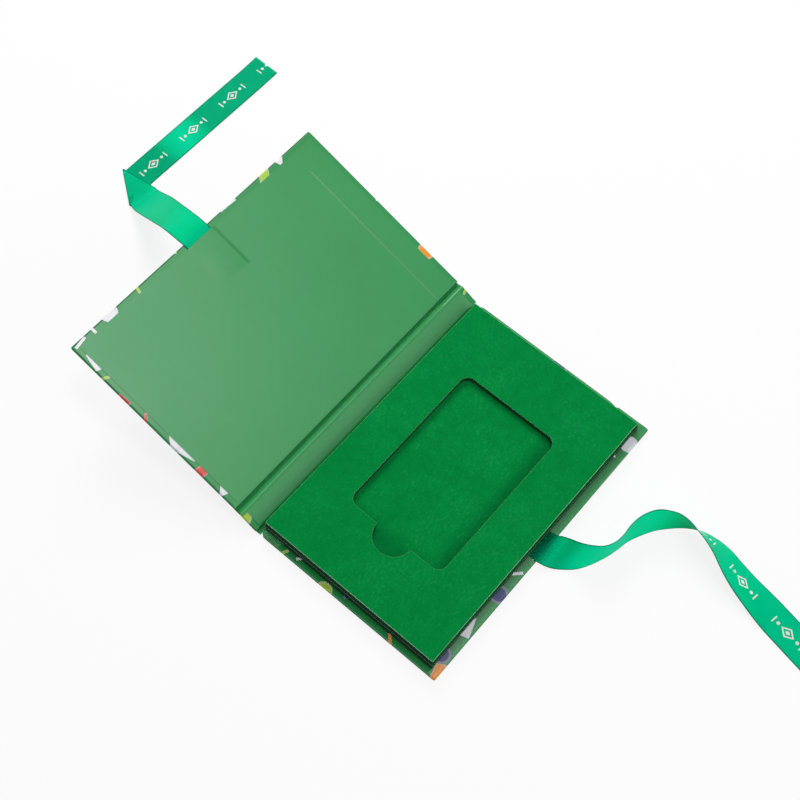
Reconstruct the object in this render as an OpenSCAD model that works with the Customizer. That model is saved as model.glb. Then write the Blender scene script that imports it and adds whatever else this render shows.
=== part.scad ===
// Card presentation box that opens like a book: a lid, a spine and a base of
// greyboard in one printed paper wrap, a flocked foam insert that holds a card,
// and two satin ribbons that tie the case shut.
// It stands open on a table: +X runs from the spine to the fore edge of the
// base, +Y along the spine, +Z up. The origin is under the middle of the base.

/* [Boards] */
// Length of the lid, the spine and the base along the fold, papers included
case_l = 162; // [140:0.5:200]
// Width of the lid and of the base, papers included
case_w = 105; // [96:0.5:140]
// Thickness of the greyboard
board_t = 2; // [1.5:0.1:3]

/* [Papers] */
// Thickness of the printed wrap and of the lining paper
paper_t = 0.2; // [0.15:0.01:0.35]
// How far the wrap is turned in over the inner faces of the boards
turn_in = 15; // [10:0.5:20]
// Printed margin left bare round the lining
lining_margin = 3; // [2:0.1:6]

/* [Folds] */
// Bare paper between a fold line and the edge of the lid board or base board
fold_gap = 2.7; // [2.6:0.1:4]
// Bare paper between a fold line and the edge of the spine board
spine_gap = 0.5; // [0.4:0.05:1]
// How far the lining reaches over the base, under the insert
under_flap = 12; // [8:0.5:20]
// How far a fold's lining lies on the lid board and on the spine board
fold_lap = 1; // [0.6:0.1:2]
// Slope of the spine from the table in the open case
spine_slope = 28; // [10:1:60]
// Slope of the lid from the table in the open case
lid_slope = 20; // [5:1:60]

/* [Insert] */
// Length of the foam insert
insert_l = 153.5; // [130:0.5:155]
// Width of the foam insert
insert_w = 100; // [86:0.5:102]
// Thickness of each of the two foam layers
foam_t = 3; // [2.5:0.1:5]
// Thickness of the flocked paper on each foam layer
flock_t = 0.25; // [0.2:0.01:0.5]
// Distance of the insert from the spine edge of the base board
insert_set_back = 0.1; // [0:0.1:2]
// Room between the closed lid and the insert
closed_gap = 0.2; // [0.1:0.05:1]

/* [Card window] */
// Length of the card that the window holds
card_l = 85.6; // [80:0.1:90]
// Width of the card
card_w = 54; // [50:0.1:60]
// Room round the card on every side
card_room = 0.5; // [0.3:0.05:1]
// Radius of the window's corners
window_r = 5; // [2:0.1:6]
// How far the window lies off the middle of the insert, towards the spine
window_shift = 1; // [0:0.1:3]
// Radius of the half-round thumb notch
notch_r = 10; // [6:0.5:12]
// Rounding of the notch's two shoulders
shoulder_r = 1.5; // [1:0.1:2]
// How far the pile on the window's floor stands above the pile under the foam
pile_rise = 0.05; // [0.02:0.01:0.1]
// Width of the strip round the floor where the pile is pressed down too
pressed_w = 0.3; // [0.2:0.05:0.6]

/* [Ribbons] */
// Width of each ribbon
ribbon_w = 16; // [10:0.5:20]
// Thickness of each ribbon
ribbon_t = 0.3; // [0.2:0.05:0.5]
// Length of each ribbon's glued tail
tail_l = 26; // [18:0.5:40]
// Room round a tail in the lining and in the foam
tail_room = 0.05; // [0.03:0.01:0.2]

/* [Hidden] */
$fn = 64;

// Heights above the outer face of a board, in the order they are glued up
board_top = paper_t + board_t;
turn_top = board_top + paper_t;
lining_top = turn_top + paper_t;
pocket_top = turn_top + ribbon_t + paper_t;
insert_h = 2 * (foam_t + flock_t);
insert_top = turn_top + insert_h;
// A fold turns on the middle of the wrap's thickness
fold_h = paper_t / 2;
// Distance between the two fold lines, so that the closed lid clears the insert
spine_w = insert_top + closed_gap + pocket_top - 2 * fold_h;

base_fold_x = -case_w / 2 - fold_gap;
base_fold = [base_fold_x, fold_h];
lid_fold = spine_point(spine_w, fold_h);

insert_x = -case_w / 2 + insert_set_back;
window_l = card_l + 2 * card_room;
window_w = card_w + 2 * card_room;
window_x = insert_x + insert_w / 2 - window_shift;
lower_top = turn_top + foam_t;
well_floor = lower_top + flock_t;
upper_top = well_floor + foam_t;
// The cuts run this far past the faces that they go through
overrun = 1;

// A point of the upright section, from its distance to a fold line and its
// height above the outer face: on the base, on the spine and on the lid
function base_point(run, height) = [base_fold_x + run, height];
function spine_point(run, height) = base_fold
    + run * [-cos(spine_slope), sin(spine_slope)]
    + (height - fold_h) * [sin(spine_slope), cos(spine_slope)];
function lid_point(run, height) = lid_fold
    + run * [-cos(lid_slope), sin(lid_slope)]
    + (height - fold_h) * [sin(lid_slope), cos(lid_slope)];

// Ribbon stations: the middle of the ribbon, then the way across it from its
// near edge to its far edge. X is counted outwards from the cover's fore edge.
// The base ribbon leaves flat, stands up on its near edge through two bends,
// turns over and lies flat again with its other face up.
base_route = [
    [0.4, 0.1, 2.75, -0.03, 1, 0.02], [4.6, 1.1, 5, -0.29, 0.89, 0.34], [9.6, 3.1, 6, -0.33, 0.68, 0.65],
    [13.9, 5.4, 7.4, -0.31, 0.36, 0.88], [18, 8.9, 8, -0.19, 0.16, 0.97], [21.3, 13.1, 8.2, -0.07, 0.05, 1],
    [23.5, 17.9, 8.2, -0.02, 0.03, 1], [24.6, 23.1, 8.2, -0.05, 0.03, 1], [25, 28.5, 8.1, -0.13, 0.06, 0.99],
    [26.2, 33.7, 8, -0.22, 0.1, 0.97], [28.2, 38.6, 7.9, -0.26, 0.14, 0.96], [31, 43.1, 7.9, -0.24, 0.16, 0.96],
    [35, 46.6, 8.1, -0.17, 0.1, 0.98], [39.6, 49.3, 8.5, -0.08, -0.04, 1], [44.7, 50.7, 8.8, 0, -0.26, 0.97],
    [50, 51.1, 8.9, 0.02, -0.48, 0.88], [55.4, 50.9, 8.6, 0.02, -0.62, 0.78], [60.7, 50.2, 7.9, -0.01, -0.74, 0.67],
    [65.8, 49.1, 6.6, -0.06, -0.83, 0.55], [70.7, 47.8, 5.2, -0.09, -0.88, 0.46], [75.8, 46.6, 3.9, -0.11, -0.92, 0.38],
    [81, 45.5, 2.9, -0.12, -0.94, 0.3], [86.2, 44.6, 2, -0.13, -0.96, 0.21], [91.5, 43.7, 1.2, -0.14, -0.98, 0.11],
    [96.7, 42.8, 0.6, -0.16, -0.99, 0.04], [104, 41.4, 0.3, -0.18, -0.98, 0], [142, 34.1, 0.3, -0.19, -0.98, 0]
];
// The lid ribbon hangs from the lid's edge to the table: here each height is a
// share of the height of that edge.
lid_hang = [
    [4.3, 0, 1.015, 0, 1, 0.02], [11.3, 1, 0.963, 0, 1, 0], [21, 3.3, 0.825, -0.12, 0.99, 0.04],
    [31.6, 6.3, 0.628, 0, 0.98, 0.18], [43.3, 10, 0.372, 0.1, 0.96, 0.22],
    [53, 13.4, 0.15, 0.08, 0.98, 0.18], [59.5, 15.6, 0.045, 0, 1, 0.02]
];
// There it is folded under itself on the slant
lid_turn = [
    [69.4, 14.7, 1.7, -1.1, 0.8, 0.05], [69.8, 14.3, 1, -1.1, 0.8, 0.03], [69.4, 14.7, 0.3, -1.1, 0.8, 0]
];
// and runs on along the table beside the lid
lid_run = [
    [70, 24.6, 0.3, -1, 0, 0], [70, 48, 0.3, -1, 0.01, 0], [69.9, 86, 0.4, -1, 0.01, 0],
    [69.8, 110, 0.6, -1, 0.01, 0], [69.8, 122, 1, -1, 0.02, 0]
];
// A station whose way across is longer than this lies on a slanted fold
slant_mark = 1.2;
// How many rings the sweep sets from one station to the next
base_steps = 2;
lid_steps = 3;

// Catmull-Rom point between stations i and i + 1 of a run
function between(run, i, t) =
    let (
        last = len(run) - 1,
        a = run[max(i - 1, 0)], b = run[i], c = run[min(i + 1, last)], d = run[min(i + 2, last)]
    )
    (2 * b + (c - a) * t + (2 * a - 5 * b + 4 * c - d) * t * t + (3 * (b - c) + d - a) * t * t * t) / 2;
function smooth_run(run, steps) = concat(
    [for (i = [0 : len(run) - 2], k = [0 : steps - 1]) between(run, i, k / steps)],
    [run[len(run) - 1]]
);
function middle(station) = [station[0], station[1], station[2]];
function across(station) = [station[3], station[4], station[5]];
function unit(v) = v / norm(v);
// Four corners of the ribbon at station i of a path
function corners(path, i) =
    let (
        last = len(path) - 1,
        travel = unit(middle(path[min(i + 1, last)]) - middle(path[max(i - 1, 0)])),
        side = unit(across(path[i])),
        slant = norm(across(path[i])) > slant_mark ? sqrt(2) : 1,
        out = unit(cross(side, travel)) * ribbon_t / 2,
        half = side * slant * ribbon_w / 2,
        at = middle(path[i])
    )
    [at - half - out, at + half - out, at + half + out, at - half + out];

// A ribbon is one closed sweep: a ring of four corners at each station
module ribbon_solid(path) {
    last = len(path) - 1;
    points = [for (i = [0 : last]) each corners(path, i)];
    sides = [
        for (i = [0 : last - 1], k = [0 : 3])
            let (a = 4 * i + k, b = 4 * i + (k + 1) % 4)
            each [[a, b, b + 4], [a, b + 4, a + 4]]
    ];
    first_end = [for (k = [0 : 3]) 3 - k];
    last_end = [for (k = [0 : 3]) 4 * last + k];
    polyhedron(points = points, faces = concat(sides, [first_end, last_end]));
}

// A box from its lowest and highest corners
module block(low, high) {
    translate(low) cube(high - low);
}

// Puts a flat sheet, drawn from its fold line towards -X, on the spine or lid
module on_spine() {
    translate([base_fold[0], 0, base_fold[1]]) rotate([0, spine_slope, 0]) translate([0, 0, -fold_h]) children();
}
module on_lid() {
    translate([lid_fold[0], 0, lid_fold[1]]) rotate([0, lid_slope, 0]) translate([0, 0, -fold_h]) children();
}
// The base lies the other way round: its fold line is towards -X
module on_base() {
    translate([base_fold_x, 0, 0]) mirror([1, 0, 0]) children();
}

// Cover board of the lid or base, flat, inside its wrap
module cover_board() {
    block(
        [-fold_gap - case_w + paper_t, -case_l / 2 + paper_t, paper_t],
        [-fold_gap, case_l / 2 - paper_t, board_top]
    );
}

// Printed wrap of the lid or base: outer sheet, three edges and the turn-in
module cover_wrap() {
    fore = -fold_gap - case_w;
    difference() {
        block([fore, -case_l / 2, 0], [-fold_gap, case_l / 2, turn_top]);
        cover_board();
        block(
            [fore + turn_in, -case_l / 2 + turn_in, board_top - overrun],
            [-fold_gap + overrun, case_l / 2 - turn_in, turn_top + overrun]
        );
        block([-fold_gap - overrun, -case_l / 2 + paper_t, paper_t], [overrun - fold_gap, case_l / 2 - paper_t, board_top]);
    }
}

// Paper laid over the turn-in and down on the bare board in the middle of it
module laid_paper(from, to, half_l, sunk_from) {
    sunk_l = case_l / 2 - turn_in;
    block([to, -half_l, turn_top], [from, half_l, lining_top]);
    block([sunk_from, -sunk_l, board_top], [from, sunk_l, turn_top]);
}

// A glued ribbon tail's own space, from the fore edge of a cover inwards
module tail_space(room) {
    fore = -fold_gap - case_w;
    block(
        [fore - overrun, -ribbon_w / 2 - room, turn_top],
        [fore + tail_l + room, ribbon_w / 2 + room, turn_top + ribbon_t]
    );
}

module base_board() {
    color("#8a8378") on_base() cover_board();
}

module base_wrap() {
    color("#2f8a4a") on_base() cover_wrap();
}

module insert_sheet(low, high) {
    block([insert_x, -insert_l / 2, low], [insert_x + insert_w, insert_l / 2, high]);
}

module insert_lower_foam() {
    sunk_l = case_l / 2 - turn_in;
    color("#16201b") difference() {
        union() {
            insert_sheet(turn_top, lower_top);
            block(
                [base_fold_x + fold_gap + under_flap, -sunk_l, board_top],
                [min(case_w / 2 - turn_in, insert_x + insert_w), sunk_l, turn_top + overrun]
            );
        }
        on_base() tail_space(tail_room);
        block(
            [insert_x - overrun, -case_l / 2 + lining_margin, board_top],
            [base_fold_x + fold_gap + under_flap, case_l / 2 - lining_margin, lining_top]
        );
    }
}

// Outline of the card window with its thumb notch on the near short side, drawn
// in from its edge by inset
module window_outline(inset) {
    reach_x = window_w / 2 - window_r;
    reach_y = window_l / 2 - window_r;
    reach = sqrt(notch_r * (notch_r + 2 * shoulder_r));
    square([window_w - 2 * inset, 2 * reach_y], center = true);
    square([2 * reach_x, window_l - 2 * inset], center = true);
    for (x = [-reach_x, reach_x], y = [-reach_y, reach_y]) translate([x, y]) circle(window_r - inset);
    translate([0, -window_l / 2]) {
        circle(notch_r - inset);
        for (side = [-1, 1]) difference() {
            polygon([[0, 0], [side * reach, -shoulder_r], [side * reach, inset], [0, inset]]);
            translate([side * reach, -shoulder_r]) circle(shoulder_r + inset);
        }
    }
}

// The flocked paper on the lower foam; its pile stands up inside the window
module well_flock() {
    color("#057a3b") union() {
        insert_sheet(lower_top, well_floor);
        translate([window_x, 0, lower_top]) linear_extrude(flock_t + pile_rise) window_outline(pressed_w);
    }
}

module windowed_sheet(low, high) {
    difference() {
        insert_sheet(low, high);
        translate([window_x, 0, low - overrun]) linear_extrude(high - low + 2 * overrun) window_outline(0);
    }
}

module insert_upper_foam() {
    color("#16201b") windowed_sheet(well_floor, upper_top);
}

module top_flock() {
    color("#058a43") windowed_sheet(upper_top, insert_top);
}

module spine_board() {
    color("#8a8378") on_spine() block(
        [-spine_w + spine_gap, -case_l / 2 + paper_t, paper_t],
        [-spine_gap, case_l / 2 - paper_t, board_top]
    );
}

module spine_wrap() {
    color("#2f8a4a") on_spine() difference() {
        block([-spine_w + spine_gap, -case_l / 2, 0], [-spine_gap, case_l / 2, turn_top]);
        block(
            [-spine_w + spine_gap - overrun, -case_l / 2 + paper_t, paper_t],
            [-spine_gap + overrun, case_l / 2 - paper_t, board_top]
        );
        block(
            [-spine_w + spine_gap - overrun, -case_l / 2 + turn_in, board_top - overrun],
            [-spine_gap + overrun, case_l / 2 - turn_in, turn_top + overrun]
        );
    }
}

module spine_lining() {
    from = -spine_gap - fold_lap;
    to = -spine_w + spine_gap + fold_lap;
    color("#4d8f63") on_spine() laid_paper(from, to, case_l / 2 - lining_margin, to);
}

module lid_board() {
    color("#8a8378") on_lid() cover_board();
}

module lid_wrap() {
    color("#2f8a4a") on_lid() cover_wrap();
}

module lid_lining() {
    fore = -fold_gap - case_w;
    color("#4fa060") on_lid() difference() {
        union() {
            laid_paper(-fold_gap - fold_lap, fore + lining_margin, case_l / 2 - lining_margin, fore + turn_in);
            block(
                [fore + lining_margin, -ribbon_w / 2 - 2 * paper_t, turn_top],
                [fore + tail_l + 2 * paper_t, ribbon_w / 2 + 2 * paper_t, pocket_top]
            );
        }
        tail_space(tail_room);
    }
}

// Extrudes an outline of the upright section along the fold
module along_fold(outline, half_l) {
    translate([0, half_l, 0]) rotate([90, 0, 0]) linear_extrude(2 * half_l) polygon(outline);
}

module base_fold_wrap() {
    color("#2f8a4a") along_fold([
        base_point(fold_gap, 0), base_point(spine_gap, 0), spine_point(spine_gap, 0),
        spine_point(spine_gap, paper_t), base_point(spine_gap, paper_t), base_point(fold_gap, paper_t)
    ], case_l / 2);
}

// Lining pressed down into the groove between the spine and the base, from the
// spine board to its flap on the base board under the insert
module base_fold_lining() {
    deep = 2 * paper_t;
    inner = spine_gap - paper_t;
    color("#2c6e42") along_fold([
        spine_point(spine_gap + fold_lap, turn_top), spine_point(spine_gap, turn_top),
        spine_point(spine_gap, paper_t), base_point(spine_gap, paper_t),
        base_point(fold_gap, paper_t), base_point(fold_gap, turn_top),
        base_point(fold_gap + under_flap, turn_top), base_point(fold_gap + under_flap, lining_top),
        base_point(fold_gap - paper_t, lining_top), base_point(fold_gap - paper_t, deep),
        base_point(inner, deep), spine_point(inner, deep),
        spine_point(inner, lining_top), spine_point(spine_gap + fold_lap, lining_top)
    ], case_l / 2 - lining_margin);
}

module lid_fold_wrap() {
    color("#2f8a4a") along_fold([
        spine_point(spine_w - spine_gap, 0), spine_point(spine_w - spine_gap, paper_t),
        lid_point(fold_gap, paper_t), lid_point(fold_gap, 0)
    ], case_l / 2);
}

// Lining over the groove between the spine and the lid, deepest at the lid
module lid_fold_lining() {
    low = turn_top / 2;
    color("#2c6e42") along_fold([
        spine_point(spine_w - spine_gap - fold_lap, turn_top), spine_point(spine_w - spine_gap, turn_top),
        lid_point(fold_gap - 2 * paper_t, low - paper_t), lid_point(fold_gap, low - paper_t),
        lid_point(fold_gap, turn_top), lid_point(fold_gap + fold_lap, turn_top),
        lid_point(fold_gap + fold_lap, lining_top), lid_point(fold_gap - paper_t, lining_top),
        lid_point(fold_gap - paper_t, low), spine_point(spine_w - spine_gap, lining_top),
        spine_point(spine_w - spine_gap - fold_lap, lining_top)
    ], case_l / 2 - lining_margin);
}

// The glued tail of each ribbon runs flat to the cover's fore edge
function base_tail(run) = [case_w / 2 - run, 0, turn_top + ribbon_t / 2, 0, 1, 0];
function lid_tail(run) =
    let (at = lid_point(fold_gap + case_w - run, turn_top + ribbon_t / 2))
    [at[0], 0, at[1], 0, 1, 0];
lid_edge = lid_point(fold_gap + case_w, turn_top);

// Turns a route's stations from the fore edge into places in the part's frame
function place_base(run) = [
    for (s = run) [case_w / 2 + s[0], s[1], s[2], s[3], s[4], s[5]]
];
function place_lid(run, height) = [
    for (s = run) [lid_edge[0] - s[0], s[1], s[2] * height, s[3], s[4], s[5]]
];

module base_ribbon() {
    color("#00c183") ribbon_solid(concat(
        [base_tail(tail_l), base_tail(case_w / 2 - insert_x - insert_w)],
        smooth_run(concat([base_tail(0)], place_base(base_route)), base_steps)
    ));
}

module lid_ribbon() {
    color("#00c183") ribbon_solid(concat(
        [lid_tail(tail_l), lid_tail(lining_margin)],
        smooth_run(concat([lid_tail(0)], place_lid(lid_hang, lid_edge[1])), lid_steps),
        place_lid(lid_turn, 1),
        smooth_run(place_lid(lid_run, 1), lid_steps)
    ));
}

base_board();
base_wrap();
insert_lower_foam();
well_flock();
insert_upper_foam();
top_flock();
base_ribbon();
spine_board();
spine_wrap();
spine_lining();
base_fold_wrap();
base_fold_lining();
lid_board();
lid_wrap();
lid_lining();
lid_fold_wrap();
lid_fold_lining();
lid_ribbon();
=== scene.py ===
# %% [markdown]
# # A card presentation box
#
# This box opens like a book. A lid, a narrow spine and a base of greyboard share
# one printed paper wrap, a plain green paper lines the inside, and a foam insert
# with flocked faces holds a card. Two satin ribbons tie the case shut.
#
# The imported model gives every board, fold and ribbon its place. It is loaded
# first, and each piece made here lies where that model says.

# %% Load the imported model
import math
from functools import partial

import bpy
from mathutils import Matrix, Vector


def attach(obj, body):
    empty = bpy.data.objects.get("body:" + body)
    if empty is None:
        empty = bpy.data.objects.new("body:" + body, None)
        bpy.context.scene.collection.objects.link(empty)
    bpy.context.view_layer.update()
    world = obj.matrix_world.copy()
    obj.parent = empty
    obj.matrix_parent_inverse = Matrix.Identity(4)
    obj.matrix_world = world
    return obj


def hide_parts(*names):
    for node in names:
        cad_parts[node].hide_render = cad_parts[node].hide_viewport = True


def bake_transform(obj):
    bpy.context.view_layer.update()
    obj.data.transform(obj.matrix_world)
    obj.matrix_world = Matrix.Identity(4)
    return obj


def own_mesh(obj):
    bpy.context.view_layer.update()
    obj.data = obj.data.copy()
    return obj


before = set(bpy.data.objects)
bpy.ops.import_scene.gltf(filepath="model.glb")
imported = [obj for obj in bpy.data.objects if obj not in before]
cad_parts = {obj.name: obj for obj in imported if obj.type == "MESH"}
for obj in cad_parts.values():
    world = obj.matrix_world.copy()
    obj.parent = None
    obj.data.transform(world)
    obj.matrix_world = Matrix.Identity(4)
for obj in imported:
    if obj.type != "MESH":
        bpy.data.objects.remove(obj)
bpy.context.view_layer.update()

MM = 0.001

# %% [markdown]
# ## The camera
#
# The view follows from the corners of the window, the insert and the covers: the
# camera stands in front of the base, high above the table, and is turned a little
# about its own axis. The lens is a short telephoto, so the far end of the box is
# hardly smaller than the near one.

# %% Place the camera
AZIMUTH, ELEVATION, ROLL = (math.radians(a) for a in (37.09, 64.04, 3.63))
level = math.cos(ELEVATION)
backwards = Vector((math.sin(AZIMUTH) * level, -math.cos(AZIMUTH) * level, math.sin(ELEVATION)))
level_right = Vector((math.cos(AZIMUTH), math.sin(AZIMUTH), 0))
level_up = backwards.cross(level_right)
right = math.cos(ROLL) * level_right + math.sin(ROLL) * level_up
up = math.cos(ROLL) * level_up - math.sin(ROLL) * level_right

bpy.ops.object.camera_add(location=(0.1296, -0.2211, 0.6075))
camera = bpy.context.object
camera.name = "Camera"
camera.rotation_euler = Matrix((right, up, backwards)).transposed().to_euler()
camera.data.lens = 62.49
camera.data.sensor_width = 36
camera.data.clip_start = 0.01
bpy.context.scene.camera = camera
print("camera at", [round(c, 3) for c in camera.location])

# %% [markdown]
# ## Light and table
#
# The shadows in the window say where the light comes from. The strongest lamp is
# large, stands behind the spine at half height and throws the insert's shadow over
# the fore margin. A weaker one stands on the other side, and one hangs overhead,
# where the glossy papers reflect it. The world only lifts what is left.
#
# The table is white. Part of what the camera sees of it is a plain glow, so it
# stays white, while it keeps a soft shadow and throws light back up at the box.

# %% Hang the lamps
def lamp(name, direction, distance, size, share):
    """A square lamp that gives a level white surface this share of full light."""
    towards = Vector(direction).normalized()
    bpy.ops.object.light_add(type="AREA", location=towards * distance)
    made = bpy.context.object
    made.name = name
    made.rotation_euler = towards.to_track_quat("Z", "Y").to_euler()
    made.data.size = size
    made.data.energy = math.pi**2 * distance**2 * share / towards.z
    return made


lamp("Window light", (-0.62, 0.6, 0.68), 1.3, 0.6, 0.4)
lamp("Side light", (1.0, 0.3, 0.6), 1.3, 0.6, 0.08)
lamp("Overhead light", (0.1, 0.12, 0.99), 1.5, 0.4, 0.27)


# %% Make nodes in one line
def node(kind, *inputs, tree=None, **settings):
    """Adds a node, and gives its sockets, in order, a value or a link.

    It goes into the tree of its first link, unless it is told another.
    """
    if tree is None:
        tree = next(i for i in inputs if isinstance(i, bpy.types.NodeSocket)).id_data
    made = tree.nodes.new("ShaderNode" + kind)
    for key, value in settings.items():
        setattr(made, key, value)
    for socket, value in zip(made.inputs, inputs):
        give(socket, value)
    return made


def give(socket, value):
    if isinstance(value, bpy.types.NodeSocket):
        socket.id_data.links.new(value, socket)
    elif value is not None:
        socket.default_value = value


def maths(operation, *inputs):
    return node("Math", *inputs, operation=operation).outputs[0]


times, times_plus, minus, over, size_of, larger = (
    partial(maths, operation)
    for operation in ("MULTIPLY", "MULTIPLY_ADD", "SUBTRACT", "DIVIDE", "ABSOLUTE", "MAXIMUM")
)


# %% Lay the table and set the world
LIGHT_OF_SKY = 0.2
GLOW_OF_TABLE = 0.85

world = bpy.data.worlds.new("Studio")
world.use_nodes = True
bpy.context.scene.world = world
tree = world.node_tree
tree.nodes.clear()
paths = node("LightPath", tree=tree).outputs
seen = larger(paths["Is Camera Ray"], paths["Is Glossy Ray"])
seen = larger(seen, paths["Is Transmission Ray"])
sky = node("Background", (1, 1, 1, 1), LIGHT_OF_SKY, tree=tree).outputs[0]
white = node("Background", (1, 1, 1, 1), 1.0, tree=tree).outputs[0]
shown = node("MixShader", seen, sky, white).outputs[0]
node("OutputWorld", shown)

bpy.ops.object.select_all(action="DESELECT")
bpy.ops.mesh.primitive_plane_add(size=6, location=(0, 0, -0.0001))
table = bpy.context.object
table.name = "Table"

paint = bpy.data.materials.new("Table white")
paint.use_nodes = True
tree = paint.node_tree
tree.nodes.clear()
matt = node("BsdfDiffuse", (0.95, 0.95, 0.95, 1), tree=tree).outputs[0]
glow = node("Emission", (1, 1, 1, 1), 1.0, tree=tree).outputs[0]
paths = node("LightPath", tree=tree).outputs
glow_share = times(paths["Is Camera Ray"], GLOW_OF_TABLE)
mixed = node("MixShader", glow_share, matt, glow).outputs[0]
node("OutputMaterial", mixed)
table.data.materials.append(paint)
bpy.context.scene.view_settings.view_transform = "Standard"

# %% [markdown]
# ## Papers, pile, foam and satin
#
# Four effects are used by several finishes, so each is a node group: the fibres
# of paper, the printed confetti, the pile of flocked paper, and the weave of the
# ribbon. They read the sheet's own coordinates, in metres, and give back colours,
# masks and heights that change over the surface.

# %% A helper for node groups
def effect(name, *outputs):
    """A node group that reads a vector: the group, the vector and its named outputs."""
    made = bpy.data.node_groups.new(name, "ShaderNodeTree")
    made.interface.new_socket("Vector", in_out="INPUT", socket_type="NodeSocketVector")
    for socket in outputs:
        kind = "NodeSocketColor" if socket == "Color" else "NodeSocketFloat"
        made.interface.new_socket(socket, in_out="OUTPUT", socket_type=kind)
    vector = made.nodes.new("NodeGroupInput").outputs[0]
    return made, vector, made.nodes.new("NodeGroupOutput").inputs


def use(group, vector):
    """Places an effect in a material."""
    return node("Group", vector, node_tree=group).outputs


def noise(vector, scale, detail=2.0, roughness=0.5):
    return node("TexNoise", vector, None, scale, detail, roughness).outputs[0]


def soft_step(value, low, high):
    """0 below low, 1 above high, and smooth between."""
    return node("MapRange", value, low, high, 0.0, 1.0, interpolation_type="SMOOTHSTEP").outputs[0]


def mix(factor, first, second):
    unused = [None] * 5
    return node("Mix", factor, *unused, first, second, data_type="RGBA").outputs[2]


# %% Paper fibres
FIBRES, vector, end = effect("Paper fibres", "Tone", "Height")
broad = noise(vector, 22.0, 1.0)
clouds = noise(vector, 160.0, 3.0)
fine = noise(vector, 1500.0, 4.0, 0.65)
give(end["Tone"], times_plus(clouds, 0.35, times(broad, 0.65)))
give(end["Height"], times_plus(fine, 0.3, clouds))

# %% [markdown]
# ## The printed confetti
#
# The margins and the outside of the wrap carry a bright print. Here it is plain
# confetti: discs, bars, triangles and blocks. A Voronoi texture cuts the sheet
# into cells of 12.5 mm, and each cell's random colour says which shape lies in its
# middle, how far it is turned and which ink it has.

# %% Scattered print
PRINT_PITCH, PRINT_START = 0.0125, (0.13, 0.22, 0)
DISC_RADIUS, BAR_SIZE, TRIANGLE_SIZE, BLOCK_SIZE, NOTHING = 4.4, (0.7, 3.4), 1.6, (2.6, 5.0), 9.0
INKS = [
    (0.0, (0.88, 0.88, 0.93, 1)), (0.4, (0.4, 0.64, 0.04, 1)), (0.62, (0.72, 0.06, 0.03, 1)),
    (0.76, (0.9, 0.33, 0.03, 1)), (0.82, (0.01, 0.03, 0.15, 1)), (0.94, (0.88, 0.88, 0.93, 1)),
]
RING_EDGE, RING_SHARE, RING_INK = (0.72, 0.78), 0.35, (0.62, 0.6, 0.72, 1)

PRINT, vector, end = effect("Scattered print", "Mask", "Color")
moved = node("Mapping", vector, PRINT_START).outputs[0]
cells = node("TexVoronoi", moved, None, 1 / PRINT_PITCH, voronoi_dimensions="2D")
cells.inputs["Randomness"].default_value = 0.55
lot = node("SeparateColor", cells.outputs["Color"]).outputs
offset = node("VectorMath", moved, cells.outputs["Position"], operation="SUBTRACT").outputs[0]
turned = node("VectorRotate", offset, rotation_type="Z_AXIS")
give(turned.inputs["Angle"], times(lot[0], math.tau))
across = node("SeparateXYZ", turned.outputs[0]).outputs
x_mm, y_mm = (times(across[i], 1000.0) for i in (0, 1))
x_size, y_size = (size_of(v) for v in (x_mm, y_mm))


def box_distance(half_x, half_y):
    return larger(over(x_size, half_x), over(y_size, half_y))


radius = maths("SQRT", times_plus(x_mm, x_mm, times(y_mm, y_mm)))
disc = over(radius, DISC_RADIUS)
slope = times_plus(x_size, 0.87, times(y_mm, 0.5))
side = larger(slope, times(y_mm, -1.0))
triangle = over(side, TRIANGLE_SIZE)
bar, rectangle = box_distance(*BAR_SIZE), box_distance(*BLOCK_SIZE)
shapes = [disc, bar, triangle, NOTHING, rectangle, bar]
kind = maths("FLOOR", times(lot[1], float(len(shapes))))
reach = 0.0
for number, shape in enumerate(shapes):
    reach = times_plus(maths("COMPARE", kind, float(number), 0.5), shape, reach)
give(end["Mask"], maths("LESS_THAN", reach, 1.0))

inks = node("ValToRGB", lot[2])
inks.color_ramp.interpolation = "CONSTANT"
for number, (place, colour) in enumerate(INKS):
    stop = inks.color_ramp.elements[number] if number < 2 else inks.color_ramp.elements.new(place)
    stop.position, stop.color = place, colour
ring = times(soft_step(reach, *RING_EDGE), RING_SHARE)
give(end["Color"], mix(ring, inks.outputs[0], RING_INK))

# %% [markdown]
# ## Pile and weave
#
# Flocked paper is short nylon fibre shot into glue. It is matt, a little cloudy
# where the pile leans another way, and full of small paler flecks. The ribbon is
# woven satin: fine ribs run across it, and a firmer selvage edges it on both sides.

# %% Flock pile
PILE, vector, end = effect("Flock pile", "Tone", "Fleck", "Height")
lean = noise(vector, 55.0, 3.0, 0.6)
mottle = noise(vector, 210.0, 5.0, 0.7)
grain = noise(vector, 2200.0, 2.0, 0.6)
brushed = node("Mapping", vector, None, (0, 0, 0.75), (1.0, 0.6, 1.0)).outputs[0]
hairs = noise(brushed, 900.0, 3.0, 0.6)
give(end["Tone"], times_plus(lean, 0.4, times(mottle, 0.6)))
give(end["Fleck"], soft_step(times_plus(lean, 0.3, hairs), 0.66, 0.86))
give(end["Height"], times_plus(grain, 0.5, mottle))

# %% Satin weave
RIBBON_W, RIB_PITCH, THREAD_PITCH, SELVAGE_AT = 0.016, 0.0004, 0.0005, (0.0073, 0.0078)
WEAVE, vector, end = effect("Satin weave", "Selvage", "Tone", "Height")
place = node("SeparateXYZ", vector).outputs
from_middle = size_of(minus(place[0], RIBBON_W / 2))
give(end["Selvage"], soft_step(from_middle, *SELVAGE_AT))
give(end["Tone"], noise(vector, 90.0, 2.0))
ribs = maths("SINE", times(place[1], math.tau / RIB_PITCH))
threads = maths("SINE", times(place[0], math.tau / THREAD_PITCH))
give(end["Height"], times(ribs, threads))

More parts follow.
